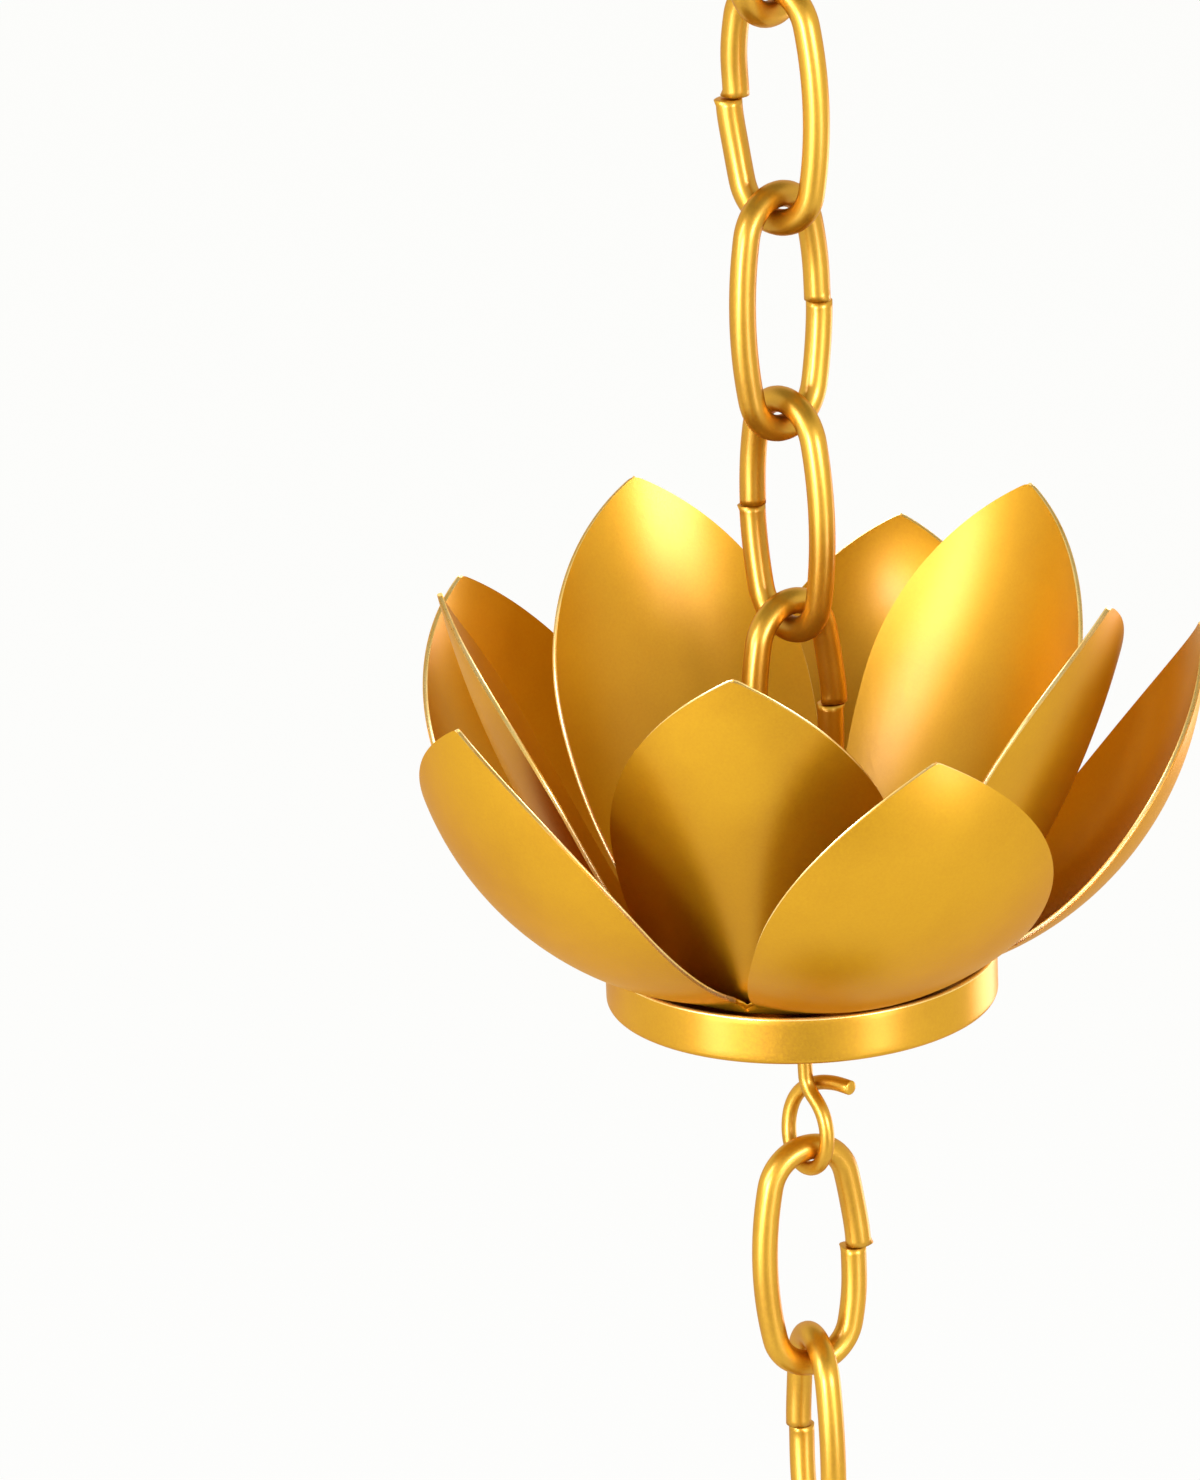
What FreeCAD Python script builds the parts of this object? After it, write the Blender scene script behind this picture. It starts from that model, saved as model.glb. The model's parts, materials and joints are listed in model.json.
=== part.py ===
"""Lotus rain chain: 29 bent wire links, three five-petal cups and a glass drop.

Frame: +Z up, millimetres. The origin is the bearing point inside the top link, where a hook or
hanger carries the whole chain. Everything hangs plumb below it on the Z axis.
"""
import FreeCAD, Part
import math
import os
import Sketcher
from FreeCAD import Placement, Rotation, Vector

doc = FreeCAD.newDocument("rain_chain")

# Driving dimensions: alias, value in mm or degrees, what it is
DIMENSIONS = [
    ("link_wire", 4.0, "diameter of the chain wire"),
    ("link_length", 40.0, "link, outside, end to end"),
    ("link_width", 20.0, "link, outside, across"),
    ("link_end_radius", 6.8, "centre line of the rounded ends"),
    ("link_seam", 0.5, "open butt joint in one arm"),
    ("hang_gap", 0.25, "play between a wire and the wire that carries it"),
    ("pan_diameter", 60.0, "base pan, outside"),
    ("pan_height", 7.5, "base pan, outside"),
    ("pan_sheet", 0.9, "base pan sheet"),
    ("pan_corner", 0.9, "outer bend where the pan's floor meets its band"),
    ("seat_gap", 0.1, "play between the outer hub and the rim that it rests on"),
    ("nest_gap", 0.25, "play between the two hubs"),
    ("petal_sheet", 0.8, "petal sheet"),
    ("floor_gap", 1.5247, "play between the middle of the outer hub and the pan's floor"),
    ("outer_inset", 1.6, "from the pan's rim inwards to where the outer petals leave the dish"),
    ("outer_neck", 4.5, "from there inwards to their root line"),
    ("outer_notch", 1.2, "half the gap between outer petals at the root line"),
    ("outer_chord", 60.9, "outer petal from there to its tip"),
    ("outer_lift", 55.6, "slope of that chord"),
    ("outer_neck_width", 32.4, "outer petal where it leaves the dish"),
    ("outer_width", 45.6, "outer petal at its widest"),
    ("outer_widest", 27.0, "along the chord to the widest place"),
    ("outer_cup", 44.0, "cross curve of the outer petal, halfway"),
    ("inner_inset", 3.5, "from the pan's rim inwards to where the inner petals are folded up"),
    ("inner_neck", 6.1, "from there inwards to their root line"),
    ("inner_notch", 0.87, "half the gap between inner petals at the root line"),
    ("inner_slope", 53.4, "their slope there"),
    ("inner_chord", 66.9, "inner petal from the fold to its tip"),
    ("inner_lift", 65.9, "slope of that chord"),
    ("inner_neck_width", 31.0, "inner petal at the fold"),
    ("inner_width", 43.4, "inner petal at its widest"),
    ("inner_widest", 31.5, "along the chord to the widest place"),
    ("inner_cup", 47.0, "cross curve of the inner petal, halfway"),
    ("tip_radius", 2.6, "rounded petal tips"),
    ("outer_turn", -70.8, "azimuth of the first outer petal on the middle cup"),
    ("inner_turn", -99.4, "azimuth of the first inner petal on the middle cup"),
    ("petals", 5, "petals on each blank"),
    ("hanger_wire", 2.3, "diameter of the wire through the cup"),
    ("hanger_length", 57.2, "hanger, inside of one eye to inside of the other"),
    ("eye_height", 14.0, "eye, centre line"),
    ("eye_width", 9.8, "eye, centre line"),
    ("tail_length", 6.6, "wire end beyond the crossing"),
    ("rim_below_eye", 22.0, "inside of the upper eye down to the pan's rim"),
    ("wire_hole", 2.6, "hole for the hanger in hubs and floor"),
    ("drain_hole", 4.0, "drain holes around it"),
    ("drain_circle", 16.0, "their pitch circle"),
    ("drains", 4, "number of drain holes"),
    ("pin_wire", 1.3, "wire that carries the drop"),
    ("pin_eye", 6.4, "its eye, centre line diameter"),
    ("pin_grip", 6.0, "length of wire inside the drop"),
    ("drop_below_link", 13.5, "bottom of the last link to the top of the drop"),
    ("drop_width", 42.8, "glass drop, widest"),
    ("drop_height", 71.0, "glass drop"),
    ("drop_top", 8.4, "flat at the top of the drop"),
    ("drop_bore", 1.5, "drilled hole for the wire"),
]

# Turn of each link about the axis; its butt joint is on the side it is turned to
RUN_TURNS = [
    [4.0, 98.0, 2.0, 92.0, 172.0],
    [154.0, 59.0, 151.0, 52.0, 140.0, 45.0, 130.0, 42.0],
    [28.0, 108.0, 31.0, 103.0, 37.0, 134.0, 53.0, 142.0],
    [168.0, 92.0, 18.0, 108.0, 36.0, 128.0, 55.0, 153.0],
]
# Turn of each hanger wire, and of its cup against the middle one
HANGER_TURNS = [80.0, -48.0, 68.0]
CUP_TURNS = [180.0, 0.0, 180.0]
PIN_TURN = 63.0


def make_sheet():
    """Spreadsheet with one named cell for each driving dimension."""
    cells = doc.addObject("Spreadsheet::Sheet", "dimensions")
    for row, (alias, value, note) in enumerate(DIMENSIONS, start=1):
        cells.set(f"A{row}", alias)
        cells.set(f"B{row}", str(value))
        cells.set(f"C{row}", note)
        cells.setAlias(f"B{row}", alias)
    doc.recompute()
    return cells


dims = make_sheet()


def size(alias):
    """Value of a named cell."""
    return float(dims.get(alias))


def origin_plane(body, role):
    """One of a body's own origin planes or axes."""
    return next(f for f in body.Origin.OriginFeatures if f.Role == role)


def new_sketch(body, name, role):
    """Sketch on one of the body's origin planes."""
    sketch = body.newObject("Sketcher::SketchObject", name)
    sketch.AttachmentSupport = [(origin_plane(body, role), "")]
    sketch.MapMode = "FlatFace"
    return sketch


def arc_between(centre, radius, start, end):
    """Arc in the sketch plane from start to end angle (radians), counterclockwise."""
    circle = Part.Circle(Vector(*centre, 0), Vector(0, 0, 1), radius)
    return Part.ArcOfCircle(circle, start, end)


# Sketch constraints name a piece by its number and a point on it by one of these
ORIGIN = (-1, 1)
X_AXIS, Y_AXIS = range(-1, -3, -1)
START, END, CENTRE = range(1, 4)


def constrain(sketch, rules):
    """Constraints without a value, each given as kind, then pieces and points."""
    for rule in rules:
        sketch.addConstraint(Sketcher.Constraint(*rule))


def dimension(sketch, kind, places, value, formula):
    """Constraint whose value comes from the named cells."""
    index = sketch.addConstraint(Sketcher.Constraint(kind, *places, value))
    sketch.setExpression(f"Constraints[{index}]", formula)


# Links: round wire bent to a long oval, ends left open in the middle of one arm

def link_path(sketch):
    """Centre line of a link: two end bends, one whole arm and one arm with the open joint."""
    half_width = (size("link_width") - size("link_wire")) / 2
    half_length = (size("link_length") - size("link_wire")) / 2
    bend = size("link_end_radius")
    rise = half_length - bend
    # an arm is an arc that meets both end bends in line
    arm = (half_width**2 + rise**2 - bend**2) / (2 * (half_width - bend))
    lean = math.atan2(rise, arm - half_width)
    open_angle = size("link_seam") / 2 / arm
    right = (half_width - arm, 0)
    left = (arm - half_width, 0)
    pieces = [
        arc_between(right, arm, open_angle, lean),
        arc_between((0, rise), bend, lean, math.pi - lean),
        arc_between(left, arm, math.pi - lean, math.pi + lean),
        arc_between((0, -rise), bend, math.pi + lean, 2 * math.pi - lean),
        arc_between(right, arm, -lean, -open_angle),
    ]
    for piece in pieces:
        sketch.addGeometry(piece, False)
    constrain(sketch, [("Tangent", k, END, k + 1, START) for k in range(len(pieces) - 1)])
    dimension(sketch, "Radius", (1,), bend, "dimensions.link_end_radius")
    return half_width


def make_link(number, turn, centre_z):
    """One chain link, a pipe along its path, turned about the axis and hung at its height."""
    name = f"link_{number:02d}"
    body = doc.addObject("PartDesign::Body", name)
    path = new_sketch(body, f"{name}_path", "XZ_Plane")
    half_width = link_path(path)
    section = new_sketch(body, f"{name}_section", "XY_Plane")
    section.setExpression("AttachmentOffset.Base.z", "dimensions.link_seam / 2")
    section.addGeometry(Part.Circle(Vector(half_width, 0, 0), Vector(0, 0, 1), size("link_wire") / 2))
    dimension(section, "Diameter", (0,), size("link_wire"), "dimensions.link_wire")
    dimension(section, "DistanceX", (*ORIGIN, 0, CENTRE), half_width,
              "(dimensions.link_width - dimensions.link_wire) / 2")
    constrain(section, [("PointOnObject", 0, CENTRE, X_AXIS)])
    doc.recompute()
    pipe = body.newObject("PartDesign::AdditivePipe", f"{name}_wire")
    pipe.Profile = section
    pipe.Spine = path
    pipe.Mode = "Frenet"
    body.Tip = pipe
    body.Placement = Placement(Vector(0, 0, centre_z), Rotation(Vector(0, 0, 1), turn))
    return body


def turn_profile(body, profile, name):
    """Solid of revolution of a profile about the axis."""
    doc.recompute()
    turned = body.newObject("PartDesign::Revolution", name)
    turned.Profile = profile
    turned.ReferenceAxis = (profile, ["V_Axis"])
    turned.Angle = 360
    body.Tip = turned
    doc.recompute()


# Base pan: a round pan pressed from sheet, open upwards, with the holes in its floor

def make_pan(name):
    """Floor and band of the base, its rim at z = 0."""
    radius = size("pan_diameter") / 2
    wall = size("pan_sheet")
    floor = -size("pan_height")
    bend = size("pan_corner")
    body = doc.addObject("PartDesign::Body", name)
    profile = new_sketch(body, f"{name}_profile", "XZ_Plane")
    points = [
        Vector(0, floor + wall, 0),
        Vector(0, floor, 0),
        Vector(radius - bend, floor, 0),
        Vector(radius, floor + bend, 0),
        Vector(radius, 0, 0),
        Vector(radius - wall, 0, 0),
        Vector(radius - wall, floor + wall, 0),
    ]
    profile.addGeometry(Part.LineSegment(points[0], points[1]))
    profile.addGeometry(Part.LineSegment(points[1], points[2]))
    profile.addGeometry(arc_between((radius - bend, floor + bend), bend, -math.pi / 2, 0))
    for first, second in ((3, 4), (4, 5), (5, 6), (6, 0)):
        profile.addGeometry(Part.LineSegment(points[first], points[second]))
    middle, underside, corner, band, rim, inner_band, floor_top = range(7)
    constrain(profile, [
        ("Coincident", middle, END, underside, START),
        ("Tangent", underside, END, corner, START),
        ("Tangent", corner, END, band, START),
        ("Coincident", band, END, rim, START),
        ("Coincident", rim, END, inner_band, START),
        ("Coincident", inner_band, END, floor_top, START),
        ("Coincident", floor_top, END, middle, START),
        ("Horizontal", underside),
        ("Horizontal", rim),
        ("Horizontal", floor_top),
        ("Vertical", band),
        ("Vertical", inner_band),
        ("PointOnObject", middle, START, Y_AXIS),
        ("PointOnObject", middle, END, Y_AXIS),
        ("PointOnObject", band, END, X_AXIS),
    ])
    dimension(profile, "Radius", (corner,), bend, "dimensions.pan_corner")
    dimension(profile, "DistanceX", (*ORIGIN, band, END), radius, "dimensions.pan_diameter / 2")
    dimension(profile, "DistanceY", (middle, END, *ORIGIN), -floor, "dimensions.pan_height")
    dimension(profile, "DistanceX", (rim, END, rim, START), wall, "dimensions.pan_sheet")
    dimension(profile, "DistanceY", (middle, END, middle, START), wall, "dimensions.pan_sheet")
    turn_profile(body, profile, f"{name}_pressing")
    holes = new_sketch(body, f"{name}_holes", "XY_Plane")
    holes.addGeometry(Part.Circle(Vector(0, 0, 0), Vector(0, 0, 1), size("wire_hole") / 2))
    for x, y in drain_centres():
        holes.addGeometry(Part.Circle(Vector(x, y, 0), Vector(0, 0, 1), size("drain_hole") / 2))
    doc.recompute()
    punched = body.newObject("PartDesign::Pocket", f"{name}_punched")
    punched.Profile = holes
    punched.Midplane = True
    punched.Type = "ThroughAll"
    body.Tip = punched
    return body


def drain_centres():
    """Centres of the drain holes, evenly round the hanger wire."""
    count = int(size("drains"))
    radius = size("drain_circle") / 2
    step = 2 * math.pi / count
    return [
        (radius * math.cos(step / 2 + k * step), radius * math.sin(step / 2 + k * step))
        for k in range(count)
    ]


# Petals: each layer is one blank, a dished hub with five cupped petals

class Layer:
    """Measures of one rosette, in its own frame with the pan's rim at z = 0."""

    def __init__(self, kind):
        sheet = size("petal_sheet")
        # the inner edge of the pan's rim, which carries the outer dish
        rim = size("pan_diameter") / 2 - size("pan_sheet")
        self.kind = kind
        self.turn = size(f"{kind}_turn")
        self.start = rim - size(f"{kind}_inset")
        self.root = self.start - size(f"{kind}_neck")
        self.root_width = 2 * (self.root * math.tan(math.pi / size("petals")) - size(f"{kind}_notch"))
        self.chord = size(f"{kind}_chord")
        self.lift = math.radians(size(f"{kind}_lift"))
        self.neck_width = size(f"{kind}_neck_width")
        self.width = size(f"{kind}_width")
        self.widest = size(f"{kind}_widest")
        self.cup = size(f"{kind}_cup")
        # the outer dish bears on the rim and stops short of the floor, the inner one lies in the outer
        depth = size("pan_height") - size("pan_sheet") + size("seat_gap") - size("floor_gap")
        under = (rim**2 + depth**2) / (2 * depth)
        self.dish = under - sheet / 2
        self.centre = size("seat_gap") + under - depth
        if kind == "inner":
            self.dish -= sheet + size("nest_gap")
        self.sheet = sheet

    def dish_height(self, radius):
        """Middle of the sheet on the dish at a distance from the axis."""
        return self.centre - math.sqrt(self.dish**2 - radius**2)

    def petal_base(self):
        """Lower end of the chord, on the dish, and the petal's slope there."""
        slope = math.asin(self.start / self.dish)
        if self.kind == "inner":
            slope = math.radians(size("inner_slope"))
        return self.start, self.dish_height(self.start), slope

    def place(self, s, y, n):
        """Point by its place along the chord, across it and off it towards the axis."""
        radius, height, _ = self.petal_base()
        return Vector(radius + s * math.cos(self.lift) - n * math.sin(self.lift), y,
                      height + s * math.sin(self.lift) + n * math.cos(self.lift))


def ring_wire(surface, half_width):
    """Closed wire between a sheet's two surfaces, given as surface(side, y)."""
    return Part.Wire([
        Part.Arc(surface(1, -half_width), surface(1, 0), surface(1, half_width)).toShape(),
        Part.LineSegment(surface(1, half_width), surface(-1, half_width)).toShape(),
        Part.Arc(surface(-1, half_width), surface(-1, 0), surface(-1, -half_width)).toShape(),
        Part.LineSegment(surface(-1, -half_width), surface(1, -half_width)).toShape(),
    ])


def petal_strip(layer):
    """Wide cupped petal before its outline is cut: an arc turned about a line beside its chord."""
    _, _, slope = layer.petal_base()
    half_turn = layer.lift - slope
    bow = layer.chord / 2 / math.sin(half_turn)
    sagitta = bow * (1 - math.cos(half_turn))
    axis_off = layer.cup - sagitta
    margin = 2.0
    half_width = layer.width / 2 + margin

    def arc_point(side, angle):
        # angle from the middle of the bow, towards the tip
        ring = bow + side * layer.sheet / 2
        return layer.place(layer.chord / 2 + ring * math.sin(angle), 0,
                           bow - sagitta - ring * math.cos(angle))

    past = 1.1 * half_turn
    section = Part.Face(Part.Wire([
        Part.Arc(arc_point(1, -past), arc_point(1, 0), arc_point(1, past)).toShape(),
        Part.LineSegment(arc_point(1, past), arc_point(-1, past)).toShape(),
        Part.Arc(arc_point(-1, past), arc_point(-1, 0), arc_point(-1, -past)).toShape(),
        Part.LineSegment(arc_point(-1, -past), arc_point(1, -past)).toShape(),
    ]))
    axis_at = layer.place(0, 0, axis_off)
    chord_line = layer.place(layer.chord, 0, axis_off) - axis_at
    spread = math.degrees(math.asin(half_width / axis_off))
    section.rotate(axis_at, chord_line, -spread)
    patch = section.revolve(axis_at, chord_line, 2 * spread)
    # keep what lies above the lower end of the chord
    block = Part.makeBox(2 * layer.chord, 4 * half_width, 4 * layer.chord)
    block.Placement = Placement(
        layer.place(0, -2 * half_width, -2 * layer.chord),
        Rotation(chord_line, Vector(0, 1, 0), layer.place(0, 0, 1) - layer.place(0, 0, 0), "XYZ"))
    patch = patch.common(block)

    # the neck runs from the hub's root line to the lower end of the patch
    def on_dish(side, y):
        ring = layer.dish + side * layer.sheet / 2
        return Vector(layer.root, y, layer.centre - math.sqrt(ring**2 - layer.root**2 - y**2))

    def on_patch(side, y):
        ring = bow + side * layer.sheet / 2
        reach = axis_off - (bow - sagitta - math.sqrt(ring**2 - (layer.chord / 2)**2))
        return layer.place(0, y, axis_off - math.sqrt(reach**2 - y**2))

    neck_half = layer.neck_width / 2 + margin
    neck = Part.makeLoft([ring_wire(on_dish, neck_half), ring_wire(on_patch, neck_half)], True, True)
    return [neck, patch]


def petal_outline(layer):
    """Prism with the petal's outline, drawn square to its chord and run through the sheet."""
    half, neck, root = layer.width / 2, layer.neck_width / 2, layer.root_width / 2
    tip, widest = layer.chord, layer.widest
    depth = layer.chord
    base_radius, base_height, _ = layer.petal_base()
    root_at = ((layer.root - base_radius) * math.cos(layer.lift)
               + (layer.dish_height(layer.root) - base_height) * math.sin(layer.lift))

    def place(s, y):
        return layer.place(s, y, -depth / 2)

    # lower side: an arc that runs up the side at the widest place
    lower = (widest**2 + (half - neck)**2) / (2 * (half - neck))
    turn = math.asin(widest / lower) / 2
    low_mid = (widest - lower * math.sin(turn), half - lower * (1 - math.cos(turn)))
    # upper side: an arc from there to the rounded tip
    blunt = size("tip_radius")
    upper = side_radius(tip - widest, half, blunt)
    offset = upper - half
    lean = math.atan2(tip - blunt - widest, offset)
    touch = (widest + upper * math.sin(lean), upper * math.cos(lean) - offset)
    up_mid = (widest + upper * math.sin(lean / 2), upper * math.cos(lean / 2) - offset)
    edges = []
    for side in (1, -1):
        edges += [
            Part.LineSegment(place(2 * root_at, side * root), place(root_at, side * root)),
            Part.LineSegment(place(root_at, side * root), place(0, side * neck)),
            Part.Arc(place(0, side * neck), place(low_mid[0], side * low_mid[1]),
                     place(widest, side * half)),
            Part.Arc(place(widest, side * half), place(up_mid[0], side * up_mid[1]),
                     place(touch[0], side * touch[1])),
        ]
    edges.append(Part.Arc(place(touch[0], touch[1]), place(tip, 0), place(touch[0], -touch[1])))
    edges.append(Part.LineSegment(place(2 * root_at, root), place(2 * root_at, -root)))
    outline = Part.Wire(Part.__sortEdges__([edge.toShape() for edge in edges]))
    return Part.Face(outline).extrude(layer.place(0, 0, depth) - layer.place(0, 0, 0))


def side_radius(reach, half, blunt):
    """Radius of the side arc: upright at half width, touching the tip circle from inside."""
    # centre at (0, half - R), tip circle centre at (reach - blunt, 0): distance is R - blunt
    return ((reach - blunt)**2 + half**2 - blunt**2) / (2 * (half - blunt))


def hub(layer):
    """Dished hub, cut to the petals' root lines and to short edges between them."""
    outside = Part.makeSphere(layer.dish + layer.sheet / 2, Vector(0, 0, layer.centre))
    inside = Part.makeSphere(layer.dish - layer.sheet / 2, Vector(0, 0, layer.centre))
    floor = layer.dish_height(0) - layer.sheet
    height = layer.dish_height(layer.root) - floor + size("pan_height")
    corners = []
    count = int(size("petals"))
    half_angle = math.atan2(layer.root_width / 2, layer.root)
    corner = math.hypot(layer.root_width / 2, layer.root)
    for k in range(count):
        for side in (-1, 1):
            angle = 2 * math.pi * k / count + side * half_angle
            corners.append(Vector(corner * math.cos(angle), corner * math.sin(angle), floor))
    corners.append(corners[0])
    prism = Part.Face(Part.makePolygon(corners)).extrude(Vector(0, 0, height))
    return prism.common(outside.cut(inside))


def rosette_shape(layer):
    """One blank: hub and petals in one piece, with the wire hole and the drain holes."""
    neck, patch = petal_strip(layer)
    outline = petal_outline(layer)
    petal = neck.common(outline).fuse(patch.common(outline))
    count = int(size("petals"))
    petals = []
    for k in range(count):
        copy = petal.copy()
        copy.rotate(Vector(0, 0, 0), Vector(0, 0, 1), 360.0 * k / count)
        petals.append(copy)
    blank = hub(layer).fuse(petals).removeSplitter()
    blank.rotate(Vector(0, 0, 0), Vector(0, 0, 1), layer.turn)
    depth = 2 * size("pan_height")
    low = Vector(0, 0, -depth)
    holes = [Part.makeCylinder(size("wire_hole") / 2, 2 * depth, low)]
    for x, y in drain_centres():
        holes.append(Part.makeCylinder(size("drain_hole") / 2, 2 * depth, low + Vector(x, y, 0)))
    return blank.cut(holes)


# Wires: round wire along a route of straight runs and the largest arcs that fit

def rounded_route(points):
    """Wire along a list of corner points, each corner rounded by an arc."""
    # an arc takes a little under half of the shorter run beside its corner
    share = 0.45
    edges = []
    last = points[0]
    for before, point, after in zip(points, points[1:], points[2:]):
        into, out = point - before, after - point
        turn = into.getAngle(out)
        back = share * min(into.Length, out.Length)
        into.normalize()
        out.normalize()
        first, second = point - into * back, point + out * back
        radius = back / math.tan(turn / 2)
        centre = point + (out - into).normalize() * (radius / math.cos(turn / 2))
        mid = centre + (point - centre).normalize() * radius
        edges.append(Part.LineSegment(last, first).toShape())
        edges.append(Part.Arc(first, mid, second).toShape())
        last = second
    edges.append(Part.LineSegment(last, points[-1]).toShape())
    return Part.Wire(edges)


def wire_along(route, diameter):
    """Round wire swept along a route."""
    start = route.Edges[0]
    direction = start.tangentAt(start.FirstParameter)
    ring = Part.Circle(start.valueAt(start.FirstParameter), direction, diameter / 2)
    sweep = Part.BRepOffsetAPI.MakePipeShell(route)
    sweep.add(Part.Wire(ring.toShape()))
    sweep.build()
    sweep.makeSolid()
    return sweep.shape()


def eye_points():
    """Corners of the lower eye from stem to tail: x along it, y behind it, z up from its foot."""
    tall, tail = size("eye_height"), size("tail_length")
    behind = size("hanger_wire") + size("hang_gap")
    # arcs pass inside their corners, so the corners stand a little outside the centre line
    swell = 1.04
    half = swell * size("eye_width") / 2
    rise = swell * 0.46 * tall
    stem = [Vector(0, 0, 1.22 * tall), Vector(0.025 * tall, 0, 0.99 * tall)]
    # the loop runs down the near side, round the foot and up to where it passes the stem
    loop = []
    for degrees in range(42, -232, -34):
        angle = math.radians(degrees)
        # past the foot the wire leans back, to pass behind the stem
        back = behind * max(0.0, -120 - degrees) / 145
        loop.append(Vector(half * math.cos(angle) - 0.25, back, rise * (1 + math.sin(angle))))
    # the tail crosses behind the stem and ends level
    cross = [
        Vector(-0.2, behind, 0.985 * tall),
        Vector(0.5 * tail, 1.25 * behind, 1.03 * tall),
        Vector(tail, 1.3 * behind, 1.03 * tall),
    ]
    return stem + loop + cross


def hanger_shape():
    """Wire with an eye at both ends; the inside of the upper eye is at z = 0."""
    wire = size("hanger_wire")
    corners = eye_points()
    # the rounded wire turns a little above its lowest corner
    turn = rounded_route(corners).BoundBox.ZMin
    foot = -size("hanger_length") - wire / 2 - turn
    head = wire / 2 + turn
    lower = [Vector(p.x, p.y, foot + p.z) for p in corners]
    upper = [Vector(-p.x, p.y, head - p.z) for p in corners]
    return wire_along(rounded_route(list(reversed(upper)) + lower), wire)


def add_shape(name, shape, placement):
    """Sub-part whose shape comes from the functions above."""
    feature = doc.addObject("Part::Feature", name)
    feature.Shape = shape
    feature.Placement = placement
    return feature


# Pendant: thin wire with a closed eye, fixed in the bore of a glass drop

def pin_shape():
    """Eye and straight stem; the inside of the eye's top is at z = 0."""
    wire = size("pin_wire")
    ring = size("pin_eye") / 2
    eye_centre = Vector(0, 0, wire / 2 - ring)
    # the stem bends aside on a small circle that touches the eye from outside
    bend = 1.6 * wire
    bend_centre = eye_centre - Vector(bend, 0, math.sqrt(ring**2 + 2 * ring * bend))
    touch = bend_centre + (eye_centre - bend_centre) * (bend / (ring + bend))
    stem_top = Vector(0, 0, bend_centre.z)
    swing = math.atan2(touch.z - bend_centre.z, touch.x - bend_centre.x) / 2
    mid_bend = bend_centre + Vector(bend * math.cos(swing), 0, bend * math.sin(swing))
    stem_end = -(size("hang_gap") + size("link_wire") + size("drop_below_link") + size("pin_grip"))
    first = math.atan2(touch.z - eye_centre.z, touch.x - eye_centre.x)
    # the eye is bent almost closed
    around = math.radians(310)

    def on_eye(share):
        angle = first - around * share
        return eye_centre + Vector(ring * math.cos(angle), 0, ring * math.sin(angle))

    route = Part.Wire([
        Part.LineSegment(Vector(0, 0, stem_end), stem_top).toShape(),
        Part.Arc(stem_top, mid_bend, touch).toShape(),
        Part.Arc(touch, on_eye(0.25), on_eye(0.5)).toShape(),
        Part.Arc(on_eye(0.5), on_eye(0.75), on_eye(1.0)).toShape(),
    ])
    return wire_along(route, wire)


def make_drop(name):
    """Glass drop, turned about the axis, its flat top at z = 0."""
    radius, height = size("drop_width") / 2, size("drop_height")
    top, bore = size("drop_top") / 2, size("drop_bore") / 2
    depth = size("pin_grip") + size("seat_gap")
    centre = radius - height
    # the side is an arc that runs on from the round bottom to the flat top
    rise = -centre
    side = ((radius - top)**2 + rise**2) / (2 * (radius - top))
    lean = math.asin(rise / side)
    body = doc.addObject("PartDesign::Body", name)
    profile = new_sketch(body, f"{name}_profile", "XZ_Plane")
    profile.addGeometry(arc_between((0, centre), radius, -math.pi / 2, 0))
    profile.addGeometry(arc_between((radius - side, centre), side, 0, lean))
    corners = [
        Vector(top, 0, 0),
        Vector(bore, 0, 0),
        Vector(bore, -depth, 0),
        Vector(0, -depth, 0),
        Vector(0, -height, 0),
    ]
    for first, second in zip(corners, corners[1:]):
        profile.addGeometry(Part.LineSegment(first, second))
    bottom, flank, flat, bore_wall, bore_end, middle = range(6)
    constrain(profile, [
        ("Tangent", bottom, END, flank, START),
        ("Coincident", flank, END, flat, START),
        ("Coincident", flat, END, bore_wall, START),
        ("Coincident", bore_wall, END, bore_end, START),
        ("Coincident", bore_end, END, middle, START),
        ("Coincident", middle, END, bottom, START),
        ("Horizontal", flat),
        ("Horizontal", bore_end),
        ("Vertical", bore_wall),
        ("PointOnObject", bore_end, END, Y_AXIS),
        ("PointOnObject", middle, END, Y_AXIS),
        ("PointOnObject", bottom, CENTRE, Y_AXIS),
        ("PointOnObject", flat, START, X_AXIS),
        ("Horizontal", bottom, CENTRE, bottom, END),
    ])
    dimension(profile, "DistanceX", (*ORIGIN, bottom, END), radius, "dimensions.drop_width / 2")
    dimension(profile, "DistanceY", (middle, END, *ORIGIN), height, "dimensions.drop_height")
    dimension(profile, "DistanceX", (*ORIGIN, flat, START), top, "dimensions.drop_top / 2")
    dimension(profile, "DistanceX", (*ORIGIN, flat, END), bore, "dimensions.drop_bore / 2")
    dimension(profile, "DistanceY", (bore_wall, END, bore_wall, START), depth,
              "dimensions.pin_grip + dimensions.seat_gap")
    turn_profile(body, profile, f"{name}_glass")
    return body


# The chain, from the top link down; each piece hangs in the one above

def upright(z, turn=0.0):
    """Place on the axis at a height, turned about it."""
    return Placement(Vector(0, 0, z), Rotation(Vector(0, 0, 1), turn))


parts = []
inside = size("link_length") - 2 * size("link_wire")
bearing = 0.0
number = 0
outer_layer, inner_layer = Layer("outer"), Layer("inner")
outer_blank, inner_blank = rosette_shape(outer_layer), rosette_shape(inner_layer)
hanger = hanger_shape()

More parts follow.
